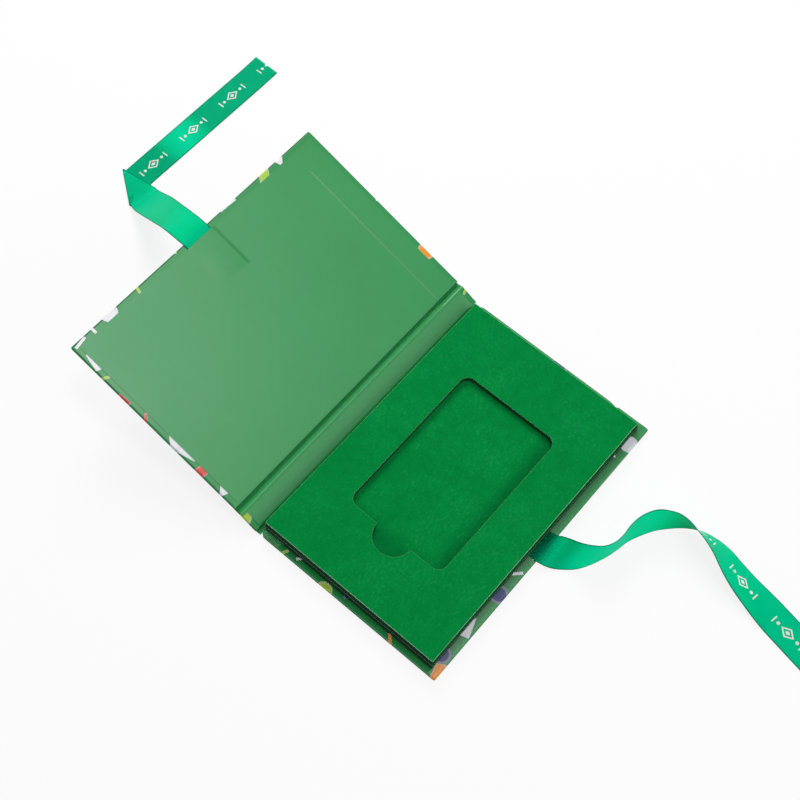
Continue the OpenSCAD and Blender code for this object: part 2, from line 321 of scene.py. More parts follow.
# %% [markdown]
# ## The finishes
#
# Each finish is a Principled shader with its own plain settings. Only what changes
# over the surface comes from the effects: the colour's variation, the gloss and
# the small bumps. The papers and the satin also read an attribute which a piece
# may carry: it holds painted shade, which darkens them, and painted light, which
# makes them paler. In the window, the pile has painted shade along the two near walls.

# %% A helper for finishes
def finish(name, roughness, specular=0.5, tint=(1, 1, 1, 1), coordinates="UV"):
    """A material with its shader and the coordinates that its pattern reads."""
    made = bpy.data.materials.new(name)
    made.use_nodes = True
    shader = made.node_tree.nodes["Principled BSDF"]
    shader.inputs["Roughness"].default_value = roughness
    shader.inputs["Specular IOR Level"].default_value = specular
    shader.inputs["Specular Tint"].default_value = tint
    return made, shader, node("TexCoord", tree=made.node_tree).outputs[coordinates]


def dye(shader, colour):
    give(shader.inputs["Base Color"], colour)


def bump(shader, height, strength, distance):
    made = node("Bump", strength, distance, tree=shader.id_data)
    give(made.inputs["Height"], height)
    give(shader.inputs["Normal"], made.outputs[0])


# %% Lining and wrap
GREENS = (0.004, 0.243, 0.048, 1), (0.014, 0.29, 0.072, 1)
# The fold's lining is duller, and a little darker: painted shade in the grooves.
FOLD_SHADE_GREENS = (0.001, 0.23, 0.045, 1), (0.004, 0.28, 0.058, 1)
# Darker greens for the wrap's sides and far roundings: painted shade.
EDGE_SHADE_GREENS = (0.004, 0.08, 0.016, 1), (0.01, 0.12, 0.028, 1)
# Colours towards which painted shade darkens a paper and painted light makes it paler.
GREEN_PAINTED_SHADE, GREEN_PAINTED_LIGHT = (0.0, 0.07, 0.01, 1), (0.3, 0.6, 0.36, 1)
PAINTED_SHADE_SHARE, PAINTED_LIGHT_SHARE = 0.7, -0.25


def painted_share(shader, share):
    """How much painted shade the surface takes, or painted light where the share is below 0."""
    note = node("Attribute", tree=shader.id_data, attribute_name="Painted_light_and_shade").outputs["Fac"]
    return node("Math", note, share, operation="MULTIPLY", use_clamp=True).outputs[0]


def green_paper(name, roughness, specular, greens=GREENS, printed=True):
    made, shader, sheet = finish(name, roughness, specular)
    fibres = use(FIBRES, sheet)
    colour = mix(fibres["Tone"], *greens)
    # Painted shade and painted light, as the piece's attribute gives them.
    colour = mix(painted_share(shader, PAINTED_SHADE_SHARE), colour, GREEN_PAINTED_SHADE)
    colour = mix(painted_share(shader, PAINTED_LIGHT_SHARE), colour, GREEN_PAINTED_LIGHT)
    if printed:
        marks = use(PRINT, sheet)
        colour = mix(marks["Mask"], colour, marks["Color"])
    dye(shader, colour)
    give(shader.inputs["Roughness"], times_plus(fibres["Tone"], 0.12, roughness - 0.06))
    bump(shader, fibres["Height"], 0.07, 0.0001)
    return made


LINING = green_paper("Green lining paper", 0.38, 0.54, printed=False)
SHADED_FOLD_LINING = green_paper("Green lining paper, pressed in a fold", 0.6, 0.3, FOLD_SHADE_GREENS, False)
WRAP = green_paper("Printed wrap paper", 0.34, 0.45)
WRAP_DULL = green_paper("Printed wrap paper, worn dull", 0.5, 0.12)
WRAP_EDGE = green_paper("Printed wrap paper, round the edge", 0.7, 0.1, EDGE_SHADE_GREENS)


def fibrous(name, dark, light, roughness=0.8, specular=0.3, strength=0.2, depth=0.0001):
    """A plain fibrous stuff, such as a cut edge."""
    made, shader, solid = finish(name, roughness, specular, coordinates="Object")
    fibres = use(FIBRES, solid)
    dye(shader, mix(fibres["Tone"], dark, light))
    if strength:
        bump(shader, fibres["Height"], strength, depth)
    return made


CUT_PAPER = fibrous("Cut edge of paper", (0.05, 0.26, 0.09, 1), (0.3, 0.5, 0.3, 1))
WORN_PILE = fibrous("Pile at the cut", (0.12, 0.48, 0.21, 1), (0.32, 0.66, 0.39, 1))
SEAM_PAPER = fibrous("Seam between the foams", (0.16, 0.22, 0.19, 1), (0.3, 0.36, 0.33, 1))
DUSTED_FOAM = fibrous("Foam dusted with pile", (0.0, 0.045, 0.012, 1), (0.004, 0.08, 0.02, 1))
GREYBOARD = fibrous("Greyboard", (0.2, 0.18, 0.15, 1), (0.34, 0.31, 0.27, 1), 0.9, 0.2, 0.4, 0.0003)


# %% Flock and foam
PILE_DARK, PILE_LIGHT, PILE_FLECK = (0.0, 0.155, 0.027, 1), (0.002, 0.31, 0.064, 1), (0.03, 0.44, 0.13, 1)
PILE_TINT, PILE_SHADE, FLECK_SHARE = (0.2, 1, 0.5, 1), (0.0, 0.06, 0.012, 1), 0.19


def flock(name):
    made, shader, solid = finish(name, 0.95, 0.08, PILE_TINT, "Object")
    pile = use(PILE, solid)
    body = mix(pile["Tone"], PILE_DARK, PILE_LIGHT)
    strength = times(pile["Fleck"], FLECK_SHARE)
    bump(shader, pile["Height"], 0.4, 0.0003)
    return made, shader, solid, mix(strength, body, PILE_FLECK)


FLOCK, shader, solid, colour = flock("Green flock")
dye(shader, colour)

# Painted shade on the pile in the window: darker towards the fore wall and, less, towards the low wall.
FORE_WALL, LOW_WALL, LOW_SHARE, WALL_SHADE = 0.0241, -0.0433, 0.6, 0.6
WELL_PILE, shader, solid, colour = flock("Green flock, in the window")
place = node("SeparateXYZ", solid).outputs
by_fore = soft_step(minus(FORE_WALL, place[0]), 0.011, -0.003)
by_low = soft_step(minus(place[1], LOW_WALL), 0.007, -0.004)
by_wall = larger(by_fore, times(by_low, LOW_SHARE))
shaded = times(by_wall, WALL_SHADE)
dye(shader, mix(shaded, colour, PILE_SHADE))

FOAM_DARK, FOAM_LIGHT = (0.016, 0.026, 0.022, 1), (0.034, 0.046, 0.04, 1)
FOAM, shader, solid = finish("Dark foam", 0.95, 0.2, coordinates="Object")
pores = node("TexVoronoi", solid, None, 1600.0).outputs["Distance"]
dye(shader, mix(pores, FOAM_DARK, FOAM_LIGHT))
bump(shader, pores, 0.15, 0.0003)

# %% [markdown]
# The printed side of the ribbons carries a small ornament in white: a lozenge
# with a dot and a bar on either side, every 30 mm.

# %% Satin, plain and printed
SATIN_TINT = (0.1, 1.0, 0.55, 1)
SATIN_DARK, SATIN_LIGHT, SATIN_EDGE = (0.0, 0.56, 0.265, 1), (0.0, 0.62, 0.3, 1), (0.0, 0.2, 0.09, 1)
# Colours for the ribbons' painted shade and painted highlight.
SATIN_SHADE, SATIN_GLEAM = (0.0, 0.05, 0.025, 1), (0.0, 0.95, 0.5, 1)
SHADE_SHARE, GLEAM_SHARE = 0.8, -0.6
ORNAMENT_PITCH, ORNAMENT_WHITE = 0.03, (0.75, 0.88, 0.8, 1)
LOZENGE, RIM_AT, RIM_HALF, HEART = (2.8, 4.0), 0.85, 0.15, 0.35
DOT_AT, DOT_REACH, BAR_AT, BAR_HALF = 6.0, 0.7, 8.6, (1.8, 0.35)


def satin(name):
    made, shader, sheet = finish(name, 0.45, 0.03, SATIN_TINT)
    shader.inputs["Subsurface Weight"].default_value = 0.7
    shader.inputs["Subsurface Radius"].default_value = (0.2, 1.0, 0.8)
    shader.inputs["Subsurface Scale"].default_value = 0.001
    weave = use(WEAVE, sheet)
    colour = mix(weave["Tone"], SATIN_DARK, SATIN_LIGHT)
    colour = mix(painted_share(shader, SHADE_SHARE), colour, SATIN_SHADE)
    colour = mix(painted_share(shader, GLEAM_SHARE), colour, SATIN_GLEAM)
    colour = mix(weave["Selvage"], colour, SATIN_EDGE)
    bump(shader, weave["Height"], 0.03, 0.00005)
    return made, shader, sheet, colour


SATIN, shader, sheet, colour = satin("Satin ribbon")
dye(shader, colour)

PRINTED_SATIN, shader, sheet, colour = satin("Satin ribbon, printed side")
place = node("SeparateXYZ", sheet).outputs
x_mm = size_of(times(minus(place[0], RIBBON_W / 2), 1000.0))
along = maths("WRAP", place[1], ORNAMENT_PITCH, 0.0)
y_mm = size_of(times(minus(along, ORNAMENT_PITCH / 2), 1000.0))
lozenge = maths("ADD", over(x_mm, LOZENGE[0]), over(y_mm, LOZENGE[1]))
rim = maths("COMPARE", lozenge, RIM_AT, RIM_HALF)
heart = maths("LESS_THAN", lozenge, HEART)
from_dot = minus(y_mm, DOT_AT)
dot_reach = times_plus(x_mm, x_mm, times(from_dot, from_dot))
dot = maths("LESS_THAN", dot_reach, DOT_REACH)
bar = maths("COMPARE", y_mm, BAR_AT, BAR_HALF[1])
bar = times(maths("LESS_THAN", x_mm, BAR_HALF[0]), bar)
marks = larger(larger(rim, heart), larger(dot, bar))
dye(shader, mix(marks, colour, ORNAMENT_WHITE))

SELVAGE = fibrous("Ribbon's cut edge", (0.0, 0.26, 0.14, 1), (0.0, 0.34, 0.18, 1), 0.9, 0.0, 0.0)
print("finishes:", len(bpy.data.materials))

# %% [markdown]
# ## Working by hand
#
# Every paper and foam piece starts as a cube or a plane and is shaped with edit
# mode's own tools. An operator works on what is selected, so the helpers clear the
# selection and then pick faces, edges or points by where they lie, in millimetres.

# %% Helpers for edit mode
def clear():
    if bpy.context.mode != "OBJECT":
        bpy.ops.object.mode_set(mode="OBJECT")
    bpy.ops.object.select_all(action="DESELECT")


def take(piece):
    """Makes one piece the selected and active one."""
    clear()
    piece.select_set(True)
    bpy.context.view_layer.objects.active = piece


def fix(piece):
    """Puts the piece's place, turn and size into its mesh."""
    take(piece)
    bpy.ops.object.transform_apply(location=True, rotation=True, scale=True)
    return piece


def stretch(add, name, low, high):
    """A new primitive, stretched between two corners."""
    clear()
    low, high = Vector(low) * MM, Vector(high) * MM
    add(size=1, location=(low + high) / 2)
    piece = bpy.context.object
    piece.name = piece.data.name = name
    piece.scale = (high.x - low.x, high.y - low.y, high.z - low.z or 1)
    return fix(piece)


def block(name, low, high):
    return stretch(bpy.ops.mesh.primitive_cube_add, name, low, high)


def sheet_of(name, low, high):
    return stretch(bpy.ops.mesh.primitive_plane_add, name, low, high)


def pick(piece, kind, wanted):
    """Edit mode with the parts selected whose middle, in millimetres, and direction pass a test."""
    take(piece)
    mesh = piece.data
    for parts in (mesh.vertices, mesh.edges, mesh.polygons):
        parts.foreach_set("select", [False] * len(parts))
    if kind == "FACE":
        for face in mesh.polygons:
            face.select = wanted(face.center / MM, face.normal)
    elif kind == "EDGE":
        for edge in mesh.edges:
            a, b = (mesh.vertices[i].co for i in edge.vertices)
            edge.select = wanted((a + b) / 2 / MM, (b - a).normalized())
    else:
        for point in mesh.vertices:
            point.select = wanted(point.co / MM)
    bpy.context.tool_settings.mesh_select_mode = [kind == k for k in ("VERT", "EDGE", "FACE")]
    bpy.ops.object.mode_set(mode="EDIT")


def edit(piece, action="SELECT"):
    """Edit mode with all of a piece selected, or nothing."""
    take(piece)
    bpy.ops.object.mode_set(mode="EDIT")
    bpy.ops.mesh.select_all(action=action)


def remove(piece, wanted):
    """Deletes the faces that pass a test."""
    pick(piece, "FACE", wanted)
    bpy.ops.mesh.delete(type="FACE")


def round_off(piece, wanted, radius, segments):
    """Bevels the edges that pass a test."""
    pick(piece, "EDGE", wanted)
    bpy.ops.mesh.bevel(offset=radius * MM, segments=segments, affect="EDGES")


def move(piece, wanted, value):
    """Moves the points that pass a test, by a vector in millimetres."""
    pick(piece, "VERT", wanted)
    bpy.ops.transform.translate(value=Vector(value) * MM)


def split_at(axis, value):
    """Cuts what is selected, across x or y."""
    across = Vector((1, 0, 0) if axis == "x" else (0, 1, 0))
    bpy.ops.mesh.bisect(plane_co=value * MM * across, plane_no=across)


def cut(piece, **places):
    """Cuts a piece right through at places along x or y, in millimetres."""
    for axis, values in places.items():
        for value in values:
            edit(piece)
            split_at(axis, value)
    clear()


def both(*values):
    """The same places on both sides of the middle."""
    return [side * value for side in (-1, 1) for value in values]


def ramp(value, start, end):
    """From 0 at start to 1 at end, and level beyond."""
    return min(max((value - start) / (end - start), 0.0), 1.0)


def apply(piece, kind, **settings):
    """Adds a modifier and applies it."""
    take(piece)
    made = piece.modifiers.new("Step", kind)
    for key, value in settings.items():
        setattr(made, key, value)
    bpy.ops.object.modifier_apply(modifier=made.name)


def smooth(piece, degrees=35):
    take(piece)
    bpy.ops.object.shade_smooth_by_angle(angle=math.radians(degrees))
    apply(piece, "WEIGHTED_NORMAL", weight=80, keep_sharp=True)
    print(f"{piece.name}: {len(piece.data.polygons)} faces")


def map_sheet(piece, shift=0.0):
    """UV coordinates in metres over the whole flat wrap, of which the piece is a part."""
    layer = piece.data.uv_layers.active or piece.data.uv_layers.new(name="Sheet")
    for loop in piece.data.loops:
        at = piece.data.vertices[loop.vertex_index].co
        layer.data[loop.index].uv = (at.x + shift * MM, at.y)


def paint_light_and_shade(piece, amount):
    """Notes on every point how much painted shade it gets, or painted light below 0."""
    layer = piece.data.attributes.new("Painted_light_and_shade", "FLOAT", "POINT")
    for point, note in zip(piece.data.vertices, layer.data):
        note.value = amount(point.co / MM)


def coat(piece, *materials):
    piece.data.materials.clear()
    for material in materials:
        piece.data.materials.append(material)


def belong(piece, body, stands_for):
    """The piece rides on its body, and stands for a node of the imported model."""
    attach(piece, body)
    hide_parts(stands_for)


def complete(piece, body, stands_for):
    """Finishes a piece, and first tilts one that was drawn flat for the spine or the lid."""
    if body in PANELS:
        tilt(piece, *PANELS[body])
    smooth(piece)
    belong(piece, body, stands_for)


# %% [markdown]
# ## Where the panels lie
#
# The spine and the lid are modelled flat, drawn from their fold line towards -X,
# as they are glued up, and are then tilted into place. A point of the upright
# section is given by its distance from the fold and its height above the outer
# face of the board.

# %% Sizes and the tilted panels
HALF_L, COVER_W, BOARD_TOP, TURN_TOP, LINING_TOP = 81.0, 105.0, 2.2, 2.4, 2.6
PAPER, TURN_IN, MARGIN, FOLD_GAP, SPINE_GAP, SPINE_W = 0.2, 15.0, 3.0, 2.7, 0.5, 11.8
HINGE_X, FORE_X = -52.5, 52.5
FOLD_H = 0.1
SPINE_SLOPE, LID_SLOPE = math.radians(28), math.radians(20)
BASE_FOLD = Vector((HINGE_X - FOLD_GAP, 0, FOLD_H))


def rise(slope):
    return Vector((-math.cos(slope), 0, math.sin(slope))), Vector((math.sin(slope), 0, math.cos(slope)))


def spine_point(run, height):
    along, out = rise(SPINE_SLOPE)
    return BASE_FOLD + run * along + (height - FOLD_H) * out


LID_FOLD = spine_point(SPINE_W, FOLD_H)
SPINE, LID = (BASE_FOLD, SPINE_SLOPE), (LID_FOLD, LID_SLOPE)
PANELS = {"spine": SPINE, "lid": LID}


def lid_point(run, height):
    along, out = rise(LID_SLOPE)
    return LID_FOLD + run * along + (height - FOLD_H) * out


def base_point(run, height):
    return Vector((BASE_FOLD.x + run, 0, height))


def tilt(piece, fold, slope):
    """Moves a piece from its flat drawing onto the spine or the lid."""
    down = Matrix.Translation((0, 0, -FOLD_H * MM))
    piece.matrix_world = Matrix.Translation(fold * MM) @ Matrix.Rotation(slope, 4, "Y") @ down
    fix(piece)


print("lid fold at", [round(c, 2) for c in LID_FOLD])

# %% [markdown]
# ## The printed wrap on the covers
#
# The wrap runs under the board, up its three outer edges and 15 mm in over the
# inner face. It is a thin box that is open towards the fold: a cube as large as
# the board, its fold side and the middle of its inner face deleted, its edges
# rounded as paper rounds over board, and then given the paper's thickness inwards.
# The base's two corners at the fold are knocked round by use. The turned-in paper
# lies there in small radial pleats, which carry painted highlights.

# %% Wrap a cover
EDGE_ROUND, SPINE_ROUND, CORNER_ROUND = 0.9, 0.5, 3.2
# The pleats' ridges also get a painted highlight.
PLEATS, PLEAT_RISE, PLEAT_GRID, PLEAT_PAINTED_HIGHLIGHT = 26, 0.28, 0.35, 1.3
PLEAT_X, PLEAT_Y = 11.0, 4.4


def knock(piece, hinge_x, radius):
    """Rounds a cover's two upright corners at the fold."""
    round_off(piece, lambda m, d: abs(d.z) > 0.9 and abs(m.x - hinge_x) < 0.01, radius, 7)


def wrap_cover(name, hinge_x, fore_x, knocked):
    low_x, high_x = sorted((hinge_x, fore_x))
    piece = block(name, (low_x, -HALF_L, 0), (high_x, HALF_L, TURN_TOP))
    if knocked:
        knock(piece, hinge_x, CORNER_ROUND)
    remove(piece, lambda m, n: abs(m.x - hinge_x) < 0.01)
    inwards = 1 if hinge_x > fore_x else -1
    inner_x, inner_y = fore_x + inwards * TURN_IN, HALF_L - TURN_IN
    cut(piece, x=[inner_x], y=both(inner_y))
    remove(piece, lambda m, n: n.z > 0.9 and abs(m.y) < inner_y and (m.x - inner_x) * inwards > 0)

    def on_outline(m, d):
        """Along the three outer sides, and round the knocked corners."""
        x, y = abs(m.x - hinge_x), HALF_L - abs(m.y)
        round_corner = knocked and max(x, y) < CORNER_ROUND and x + y < CORNER_ROUND * 1.01 and abs(d.z) < 0.1
        return round_corner or (x > 0.01 and (abs(y) < 0.01 or abs(m.x - fore_x) < 0.01))

    round_off(piece, on_outline, EDGE_ROUND, 4)
    if knocked:
        gather(piece)
    clear()
    return piece


def gather(piece):
    """Radial pleats in the turned-in paper round the base's two knocked corners."""
    inner_x, inner_y = HINGE_X + PLEAT_X, HALF_L - PLEAT_Y

    def corner(m, n):
        return n.z > 0.9 and m.z > TURN_TOP - 0.01 and m.x < inner_x and abs(m.y) > inner_y

    cut(piece, x=[inner_x], y=both(inner_y))
    grid = [("x", HINGE_X + k * PLEAT_GRID) for k in range(1, int(PLEAT_X / PLEAT_GRID))]
    for k in range(1, int(PLEAT_Y / PLEAT_GRID)):
        grid += [("y", y) for y in both(HALF_L - k * PLEAT_GRID)]
    for axis, value in grid:
        pick(piece, "FACE", corner)
        split_at(axis, value)
    clear()
    for point in piece.data.vertices:
        point.co.z += PLEAT_RISE * MM * pleat(point.co / MM)


def pleat(p):
    """From 0 between the pleats to 1 on their ridges."""
    x, y = p.x - HINGE_X, HALF_L - abs(p.y)
    if p.z < TURN_TOP - 0.01 or x > PLEAT_X or y > PLEAT_Y or min(x, y) < EDGE_ROUND:
        return 0.0
    away = math.hypot(x - CORNER_ROUND, y - CORNER_ROUND)
    turn = math.atan2(y - CORNER_ROUND, x - CORNER_ROUND)
    fade = ramp(away, 0, 3) * ramp(x, PLEAT_X, 0) ** 0.5
    return fade * abs(math.cos(PLEATS * turn / 2)) ** 3


def thicken(piece, rim, **more):
    """Gives a sheet the paper's thickness, away from its face."""
    apply(piece, "SOLIDIFY", thickness=PAPER * MM, offset=-1.0, material_offset_rim=rim, **more)


def paper_thick(piece, away=lambda n: n.y > 0.3, dull=lambda m, n: False):
    """The wrap's thickness, painted shade on its sides and where it turns away round the board's edge, and a part worn
    dull.
    """
    coat(piece, WRAP, WRAP_EDGE, CUT_PAPER, WRAP_DULL)
    for face in piece.data.polygons:
        n = face.normal
        shaded_edge = abs(n.z) < 0.3 or (n.z > 0 and away(n))
        face.material_index = 3 if dull(face.center / MM, n) else int(shaded_edge)
    thicken(piece, 2)


def painted_light_on_base(p):
    """Painted shade at the insert's foot, and painted highlights on the pleats and along the cover's two near edges."""
    if p.y < 0.5 - HALF_L or p.x > FORE_X - 0.5:
        return -EDGE_PAINTED_HIGHLIGHT
    away = max(abs(p.y) - FOOT_HALF_L, p.x - FOOT_X, 0.0)
    past_pleats = ramp(p.x - HINGE_X, 4, PLEAT_X)
    shade = ramp(away, FOOT_SHADE, 0) * past_pleats if p.z > TURN_TOP - 0.01 else 0.0
    return shade - PLEAT_PAINTED_HIGHLIGHT * pleat(p)


# Painted shade reaches this far out from the insert's foot; the two near edges get a painted highlight.
FOOT_X, FOOT_HALF_L, FOOT_SHADE, EDGE_PAINTED_HIGHLIGHT = 48.2, 77.35, 2.7, 0.6
base_wrap = wrap_cover("Base_wrap", HINGE_X, FORE_X, True)
cut(base_wrap, x=[FOOT_X, FOOT_X + FOOT_SHADE], y=both(FOOT_HALF_L, FOOT_HALF_L + FOOT_SHADE))
paint_light_and_shade(base_wrap, painted_light_on_base)
map_sheet(base_wrap)
paper_thick(base_wrap, dull=lambda m, n: n.z > 0.9 and m.y < -FOOT_HALF_L and HINGE_X + PLEAT_X < m.x < FOOT_X)
complete(base_wrap, "base", "base_wrap")

lid_wrap = wrap_cover("Lid_wrap", -FOLD_GAP, -FOLD_GAP - COVER_W, False)
map_sheet(lid_wrap, BASE_FOLD.x - SPINE_W)
paper_thick(lid_wrap, lambda n: n.y > 0.3 or n.x < -0.3)
complete(lid_wrap, "lid", "lid_wrap")

# %% Wrap the spine
spine_wrap = block("Spine_wrap", (-SPINE_W + SPINE_GAP, -HALF_L, 0), (-SPINE_GAP, HALF_L, TURN_TOP))
remove(spine_wrap, lambda m, n: abs(n.x) > 0.9)
cut(spine_wrap, y=both(HALF_L - TURN_IN))
remove(spine_wrap, lambda m, n: n.z > 0.9 and abs(m.y) < HALF_L - TURN_IN)
round_off(spine_wrap, lambda m, d: abs(d.x) > 0.9 and abs(m.y) > HALF_L - 0.01, SPINE_ROUND, 3)
clear()
map_sheet(spine_wrap, BASE_FOLD.x)
paper_thick(spine_wrap)
complete(spine_wrap, "spine", "spine_wrap")

# %% [markdown]
# ## The boards
#
# The spine's board is hidden in its paper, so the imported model's own solid stays
# and only gets the colour of greyboard. The two covers' boards are cut again as
# their wraps are: the outer edges are pressed round where the paper is drawn over
# them, and the base has its two knocked corners.

# %% Boards
coat(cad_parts["spine_board"], GREYBOARD)


def cut_board(name, hinge_x, fore_x, knocked):
    """A cover's board, inside its wrap, with the outer edges pressed round."""
    fore = fore_x - PAPER if fore_x > hinge_x else fore_x + PAPER
    low_x, high_x = sorted((hinge_x, fore))
    piece = block(name, (low_x, -HALF_L + PAPER, PAPER), (high_x, HALF_L - PAPER, BOARD_TOP))
    if knocked:
        knock(piece, hinge_x, CORNER_ROUND - PAPER)
    round_off(piece, lambda m, d: abs(d.z) < 0.1 and abs(m.x - hinge_x) > 0.01, EDGE_ROUND - PAPER, 3)
    clear()
    coat(piece, GREYBOARD)
    return piece


base_board = cut_board("Base_board", HINGE_X, FORE_X, True)
complete(base_board, "base", "base_board")

lid_board = cut_board("Lid_board", -FOLD_GAP, -FOLD_GAP - COVER_W, False)
complete(lid_board, "lid", "lid_board")

# %% [markdown]
# ## The lining papers
#
# The lining is glued over the turn-in, and it shows what lies beneath: 12 mm in
# from its edge it steps down onto the bare board, and on the lid it rises over the
# ribbon's tail, with a crease along the tail's far side, darkened with painted shade.
# A plane is cut where the steps begin and end, the points between are moved up or
# down, and the paper then gets its thickness downwards.

# %% Line the lid
STEP_RUN, RIDGE_Y = 1.5, 65.9
TAIL_L, TAIL_W, TAIL_STEP, TAIL_FADE = 26.4, 16.4, 0.3, 1.4
CREASE_Y, CREASE_DEPTH, CREASE_PAINTED_SHADE, CREASE_END = 9.2, 0.09, 0.5, 10.9
lid_fore = -FOLD_GAP - COVER_W
step_x, step_y = lid_fore + TURN_IN, HALF_L - TURN_IN
tail_x, tail_y = lid_fore + TAIL_L, TAIL_W / 2
STEP_EDGES = (step_y + STEP_RUN / 2, step_y - STEP_RUN / 2)


def paper(piece, face_of=LINING, **more):
    """A paper's face and cut edge, and its thickness."""
    coat(piece, face_of, CUT_PAPER)
    thicken(piece, 1, **more)


def plain_lining(name, low_x, high_x):
    return sheet_of(name, (low_x, -HALF_L + MARGIN, LINING_TOP), (high_x, HALF_L - MARGIN, LINING_TOP))


def in_crease(p):
    return p.x < tail_x + 0.1 and abs(p.y - CREASE_Y) < 0.1


def over_tail(p):
    return p.x < tail_x + 0.1 and abs(p.y) < tail_y + 0.1


lid_lining = plain_lining("Lid_lining", lid_fore + MARGIN, -FOLD_GAP - 1)
cut(lid_lining, x=[step_x - STEP_RUN / 2, step_x + STEP_RUN / 2, tail_x, tail_x + TAIL_FADE],
    y=both(*STEP_EDGES, tail_y) + [-tail_y - 1.6, CREASE_Y, CREASE_END, RIDGE_Y])
move(lid_lining, lambda p: p.x > step_x and abs(p.y) < step_y - STEP_RUN / 4, (0, 0, -PAPER))
move(lid_lining, over_tail, (0, 0, TAIL_STEP))
move(lid_lining, lambda p: p.x > step_x and over_tail(p), (0, 0, PAPER))
move(lid_lining, in_crease, (0, 0, -CREASE_DEPTH))
clear()
# Painted shade along the crease.
paint_light_and_shade(lid_lining, lambda p: CREASE_PAINTED_SHADE if in_crease(p) else 0.0)
map_sheet(lid_lining, BASE_FOLD.x - SPINE_W)
paper(lid_lining)
complete(lid_lining, "lid", "lid_lining")

# %% Line the spine
PAINTED_LIGHT_RUN, SPINE_PAINTED_LIGHT, PAINTED_LIGHT_BY_BASE = 7.0, 0.34, 0.4


def worn(run):
    """Painted light: paler all over, and more towards the base, where the insert shades the spine."""
    return -SPINE_PAINTED_LIGHT - PAINTED_LIGHT_BY_BASE * ramp(run, PAINTED_LIGHT_RUN, 0)


spine_lining = plain_lining("Spine_lining", -SPINE_W + SPINE_GAP + 1, -SPINE_GAP - 1)
cut(spine_lining, x=[-PAINTED_LIGHT_RUN, -PAINTED_LIGHT_RUN / 2], y=both(*STEP_EDGES))
move(spine_lining, lambda p: abs(p.y) < step_y, (0, 0, -PAPER))
clear()
# Painted light on the spine's lining, strongest towards the base.
paint_light_and_shade(spine_lining, lambda p: worn(-p.x))
map_sheet(spine_lining, BASE_FOLD.x)
paper(spine_lining)
complete(spine_lining, "spine", "spine_lining")

# %% [markdown]
# ## The folds
#
# Between the boards the papers lie on each other and bend. Each is a strip that
# is pulled out edge by edge along its section: over the board, down into the
# groove and up again.

# %% Pull a strip along its section
LAP_TOP, VALLEY_PAINTED_SHADE = 2.415, 0.44


def in_valley(point):
    """Painted shade in the groove: from 0 at the spine's crest to the darkest at the foot of the lid's board."""
    deep = height_over(point, *LID) < LAP_TOP - 0.02
    return VALLEY_PAINTED_SHADE * ramp(LID_FOLD.x - point.x, -1.2, 2.6) if deep else 0.0


def press(piece, wanted):
    """Gives the faces whose middle passes a test the duller lining of a fold, a little darker with painted shade."""
    piece.data.materials.append(SHADED_FOLD_LINING)
    for face in piece.data.polygons:
        if wanted(face.center / MM):
            face.material_index = 2


def strip(name, section, half_l, face_of, upwards, shift=0.0):
    """A paper through the points of an upright section, in millimetres, whose face looks up or down."""
    first, second = section[0], section[1]
    piece = sheet_of(name, (-0.5, -half_l, 0), (0.5, half_l, 0))
    move(piece, lambda p: p.x < 0, first + Vector((0.5, 0, 0)))
    move(piece, lambda p: abs(p.x - 0.5) < 0.001 and abs(p.z) < 0.001, second - Vector((0.5, 0, 0)))
    for here, there in zip(section[1:], section[2:]):
        pick(piece, "EDGE", lambda m, d: abs(d.y) > 0.9 and (m - here).length < 0.001)
        bpy.ops.mesh.extrude_region_move(TRANSFORM_OT_translate={"value": (there - here) * MM})
    clear()
    map_sheet(piece, shift)
    edit(piece)
    bpy.ops.mesh.normals_make_consistent(inside=False)
    clear()
    face_up = sum(face.normal.z * face.area for face in piece.data.polygons) > 0
    if face_up != upwards:
        edit(piece)
        bpy.ops.mesh.flip_normals()
    paper(piece, face_of, use_even_offset=True)
    return piece


def height_over(point, fold, slope):
    """How high a point lies over the outer face of a tilted panel."""
    return (point - fold).dot(rise(slope)[1]) + FOLD_H


def lift_ends(piece, fold, slope, lap):
    """Lifts a strip's lap on a panel over the turned-in paper at the two ends."""
    cut(piece, y=both(*STEP_EDGES))
    high = LAP_TOP - 0.1
    out = rise(slope)[1]
    move(piece, lambda p: abs(p.y) > step_y and height_over(p, fold, slope) > high and lap(p), out * PAPER)
    clear()


def bend(piece, slot, stands_for, first, second, fold, slope, reach):
    """Smooths a strip, bakes its place into its mesh and hides the node of the imported model that it stands for."""
    smooth(piece, 60)
    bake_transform(piece)
    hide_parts(stands_for)


# %% The fold between base and spine
on_base = (
    (14.7, 2.6), (8, 2.6), (2.9, 2.6), (2.62, 2.52), (2.5, 2.25),
    (2.5, 0.75), (2.4, 0.5), (2.1, 0.4), (1.2, 0.4), (0.6, 0.4),
)
on_spine = (
    (0.22, 0.62), (0.28, 0.9), (0.3, 1.4), (0.3, 2.0), (0.4, 2.26), (0.62, 2.38), (1.2, LAP_TOP), (2.0, LAP_TOP),
)
section = [base_point(*p) for p in on_base]
section += [BASE_FOLD + Vector((0.25, 0, 0.33)), BASE_FOLD + Vector((-0.05, 0, 0.36))]
section += [spine_point(*p) for p in on_spine]
base_groove = strip("Base_groove_lining", section, HALF_L - MARGIN, LINING, True)
lift_ends(base_groove, *SPINE, lambda p: p.x < BASE_FOLD.x + 1)
# Painted light on the lap over the spine, as on the spine's lining.
paint_light_and_shade(base_groove, lambda p: worn((p - BASE_FOLD).dot(rise(SPINE_SLOPE)[0])) if p.x < BASE_FOLD.x else 0.0)
press(base_groove, lambda m: m.x < BASE_FOLD.x + FOLD_GAP and (m - BASE_FOLD).dot(rise(SPINE_SLOPE)[0]) < 0.9)
bend(base_groove, "lining_paper", "base_fold_lining", "base", "spine", *SPINE, 0.35)

